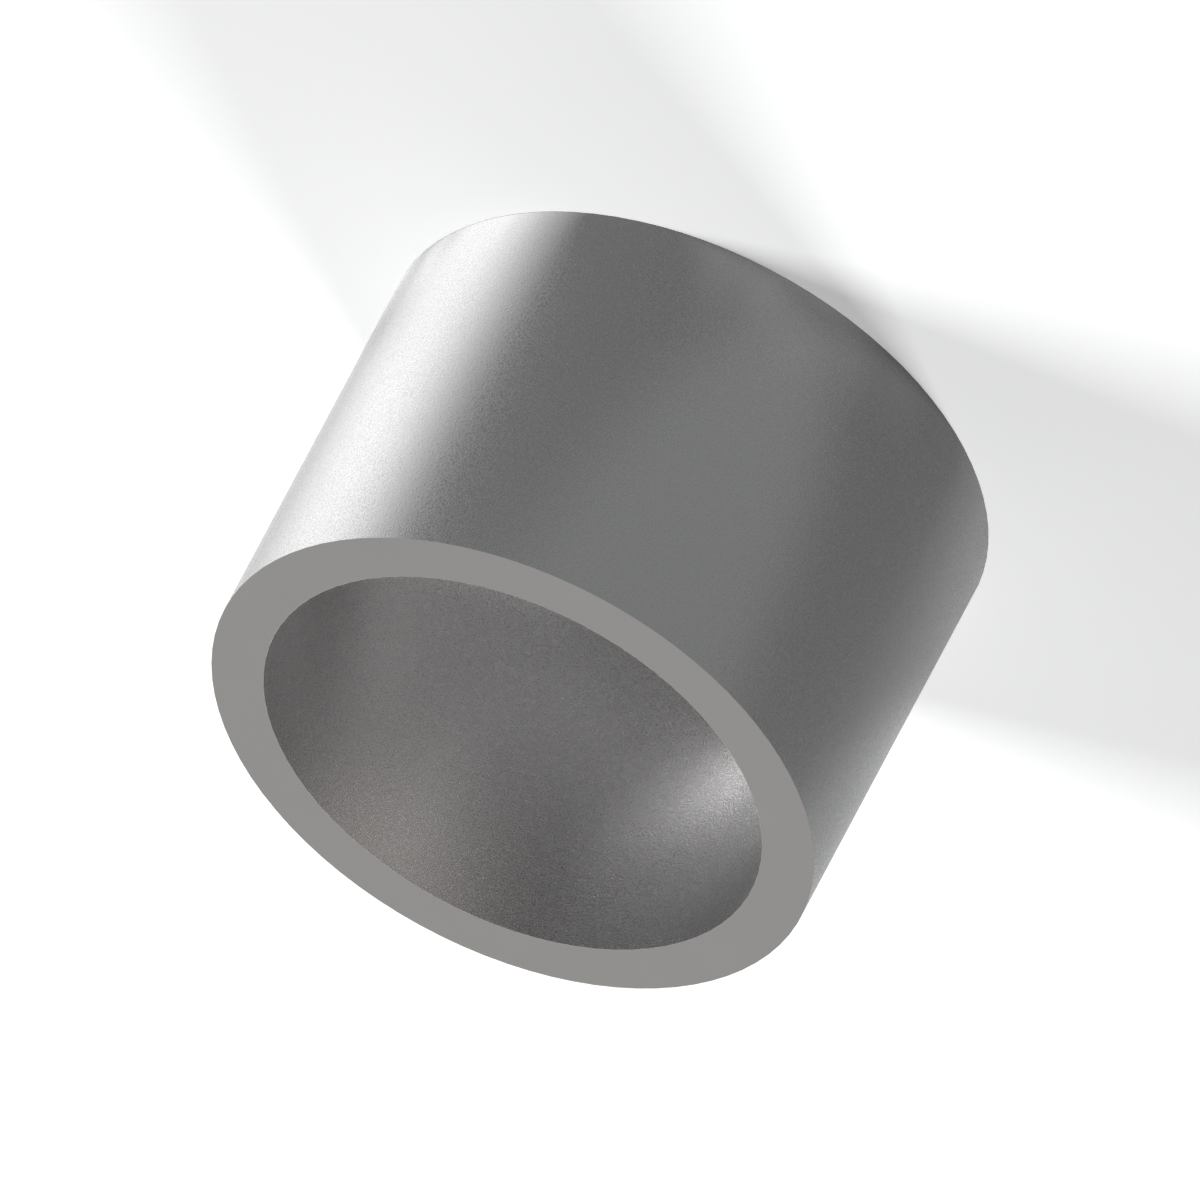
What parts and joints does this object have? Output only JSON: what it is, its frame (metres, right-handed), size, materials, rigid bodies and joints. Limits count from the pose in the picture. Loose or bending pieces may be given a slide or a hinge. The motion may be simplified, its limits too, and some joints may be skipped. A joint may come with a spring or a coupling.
{
  "type": "spacer sleeve",
  "caption": "Short plain metal tube that slides over a bolt or shaft and keeps the parts against its flat end faces a set distance apart.",
  "frame": {"origin": "centre of the bottom end face, on the bore axis", "axes": "+Z along the bore axis, from the bottom end face to the top end face; the sleeve is round, so X and Y are alike"},
  "size_m": [0.0144, 0.0144, 0.01],
  "materials": {
    "sleeve": "satin, very fine even grain"
  },
  "bodies": {
    "root": {"sleeve": "sleeve"}
  },
  "joints": []
}
